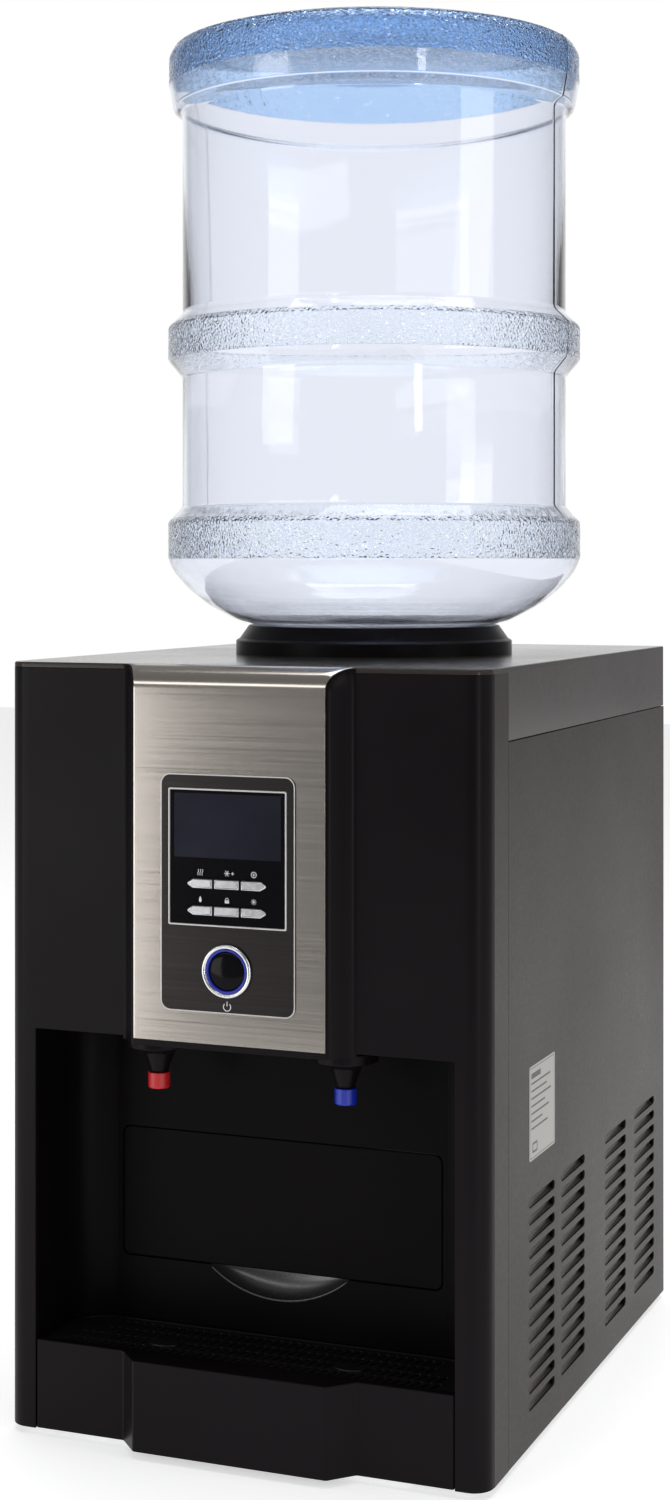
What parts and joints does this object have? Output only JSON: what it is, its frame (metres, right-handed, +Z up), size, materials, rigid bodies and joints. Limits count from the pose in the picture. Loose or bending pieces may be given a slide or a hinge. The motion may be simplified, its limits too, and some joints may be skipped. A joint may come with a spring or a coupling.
{
  "type": "countertop water dispenser",
  "caption": "Top-loading countertop water dispenser with an ice drawer, hot and cold taps, a keypad panel, a removable drip tray and an upturned bottle.",
  "frame": {"origin": "on the floor under the middle of the machine", "axes": "+X right seen from the front, +Y to the back, +Z up"},
  "size_m": [0.3002, 0.434, 0.854],
  "materials": {
    "black_satin": "satin moulded, fine texture",
    "black_liner": "moulded, fine texture",
    "brushed_fascia": "horizontal brush",
    "dark_brushed": "dark anodised, horizontal brush",
    "silver_trim": "satin",
    "black_gloss": "high gloss",
    "lcd_glass": "gloss",
    "key_silver": "satin silver",
    "chrome": "polished",
    "blue_light": "lit",
    "red_plastic": "satin",
    "blue_plastic": "satin",
    "charcoal_paint": "satin metallic",
    "label_film": "satin foil",
    "rubber": "matte",
    "zinc_plate": "galvanised",
    "screw_steel": "plated",
    "board_green": "solder mask",
    "white_plastic": "satin",
    "tank_steel": "satin",
    "foam": "closed cell foam",
    "compressor_black": "black paint",
    "coil_aluminium": "plain",
    "bottle_clear": "clear blue polycarbonate",
    "cap_blue": "satin",
    "hose_clear": "silicone"
  },
  "bodies": {
    "housing": {"base_pan": "zinc_plate", "rubber_feet": "rubber", "front_bezel": "black_satin", "dispensing_alcove": "black_liner", "steel_fascia": "brushed_fascia", "control_plate": "dark_brushed", "display_frame": "silver_trim", "display_window": "black_gloss", "lcd_screen": "lcd_glass", "control_board": "board_green", "power_ring_chrome": "chrome", "power_ring_light": "blue_light", "hot_nozzle": "black_liner", "cold_nozzle": "black_liner", "hot_nozzle_tip": "red_plastic", "cold_nozzle_tip": "blue_plastic", "tap_valves": "white_plastic", "side_panel_left": "charcoal_paint", "side_panel_right": "charcoal_paint", "back_panel": "charcoal_paint", "top_cover": "charcoal_paint", "bottle_collar": "black_satin", "rating_label": "label_film", "power_inlet": "black_liner", "drain_spigots": "white_plastic", "rear_spacers": "black_liner", "case_screws": "screw_steel", "drawer_rails": "white_plastic", "water_probe": "white_plastic", "cold_tank": "tank_steel", "tank_insulation": "foam", "hot_tank": "tank_steel", "compressor": "compressor_black", "compressor_grommets": "rubber", "condenser": "coil_aluminium", "fan_shroud": "zinc_plate", "fan_motor": "white_plastic", "evaporator_plate": "coil_aluminium", "ice_tray_motor": "white_plastic", "water_pump": "black_liner", "water_hoses": "hose_clear"},
    "bottle": {"bottle_shell": "bottle_clear", "bottle_neck": "bottle_clear", "bottle_cap": "cap_blue"},
    "ice_drawer": {"drawer_front": "black_liner", "ice_bin": "white_plastic"},
    "drip_tray": {"drip_tray": "black_liner"},
    "drip_grille": {"drip_grille": "black_liner"},
    "heat_key": {"heat_key": "key_silver"},
    "ice_key": {"ice_key": "key_silver"},
    "chill_key": {"chill_key": "key_silver"},
    "hot_key": {"hot_key": "key_silver"},
    "lock_key": {"lock_key": "key_silver"},
    "cool_key": {"cool_key": "key_silver"},
    "power_button": {"power_button": "black_gloss"},
    "fan": {"fan_blades": "black_liner"},
    "ice_water_tray": {"ice_water_tray": "white_plastic"},
    "tank_float": {"tank_float": "white_plastic"},
    "drain_plug_cold": {"drain_plug_cold": "rubber"},
    "drain_plug_hot": {"drain_plug_hot": "rubber"}
  },
  "joints": [
    {"name": "bottle_lift", "type": "slide", "parent": "housing", "child": "bottle", "axis": [0, 0, 1], "range_m": [0, 0.13]},
    {"name": "ice_drawer_slide", "type": "slide", "parent": "housing", "child": "ice_drawer", "axis": [0, -1, 0], "range_m": [0, 0.12]},
    {"name": "drip_tray_slide", "type": "slide", "parent": "housing", "child": "drip_tray", "axis": [0, -1, 0], "range_m": [0, 0.08]},
    {"name": "drip_grille_lift", "type": "slide", "parent": "drip_tray", "child": "drip_grille", "axis": [0, 0, 1], "range_m": [0, 0.03]},
    {"name": "heat_key_press", "type": "slide", "parent": "housing", "child": "heat_key", "axis": [0, 1, 0], "range_m": [0, 0.0012], "stiffness_N_per_m": 300},
    {"name": "ice_key_press", "type": "slide", "parent": "housing", "child": "ice_key", "axis": [0, 1, 0], "range_m": [0, 0.0012], "stiffness_N_per_m": 300},
    {"name": "chill_key_press", "type": "slide", "parent": "housing", "child": "chill_key", "axis": [0, 1, 0], "range_m": [0, 0.0012], "stiffness_N_per_m": 300},
    {"name": "hot_key_press", "type": "slide", "parent": "housing", "child": "hot_key", "axis": [0, 1, 0], "range_m": [0, 0.0012], "stiffness_N_per_m": 300},
    {"name": "lock_key_press", "type": "slide", "parent": "housing", "child": "lock_key", "axis": [0, 1, 0], "range_m": [0, 0.0012], "stiffness_N_per_m": 300},
    {"name": "cool_key_press", "type": "slide", "parent": "housing", "child": "cool_key", "axis": [0, 1, 0], "range_m": [0, 0.0012], "stiffness_N_per_m": 300},
    {"name": "power_button_press", "type": "slide", "parent": "housing", "child": "power_button", "axis": [0, 1, 0], "range_m": [0, 0.0012], "stiffness_N_per_m": 300},
    {"name": "fan_spin", "type": "hinge", "parent": "housing", "child": "fan", "pos_m": [0.1, 0.11, 0.08], "axis": [1, 0, 0], "continuous": true},
    {"name": "ice_tray_tilt", "type": "hinge", "parent": "housing", "child": "ice_water_tray", "pos_m": [0, -0.06, 0.262], "axis": [-1, 0, 0], "range_deg": [0, 75]},
    {"name": "tank_float_rise", "type": "slide", "parent": "housing", "child": "tank_float", "axis": [0, 0, 1], "range_m": [0, 0.04]},
    {"name": "cold_drain_pull", "type": "slide", "parent": "housing", "child": "drain_plug_cold", "axis": [0, 1, 0], "range_m": [0, 0.015]},
    {"name": "hot_drain_pull", "type": "slide", "parent": "housing", "child": "drain_plug_hot", "axis": [0, 1, 0], "range_m": [0, 0.015]}
  ]
}
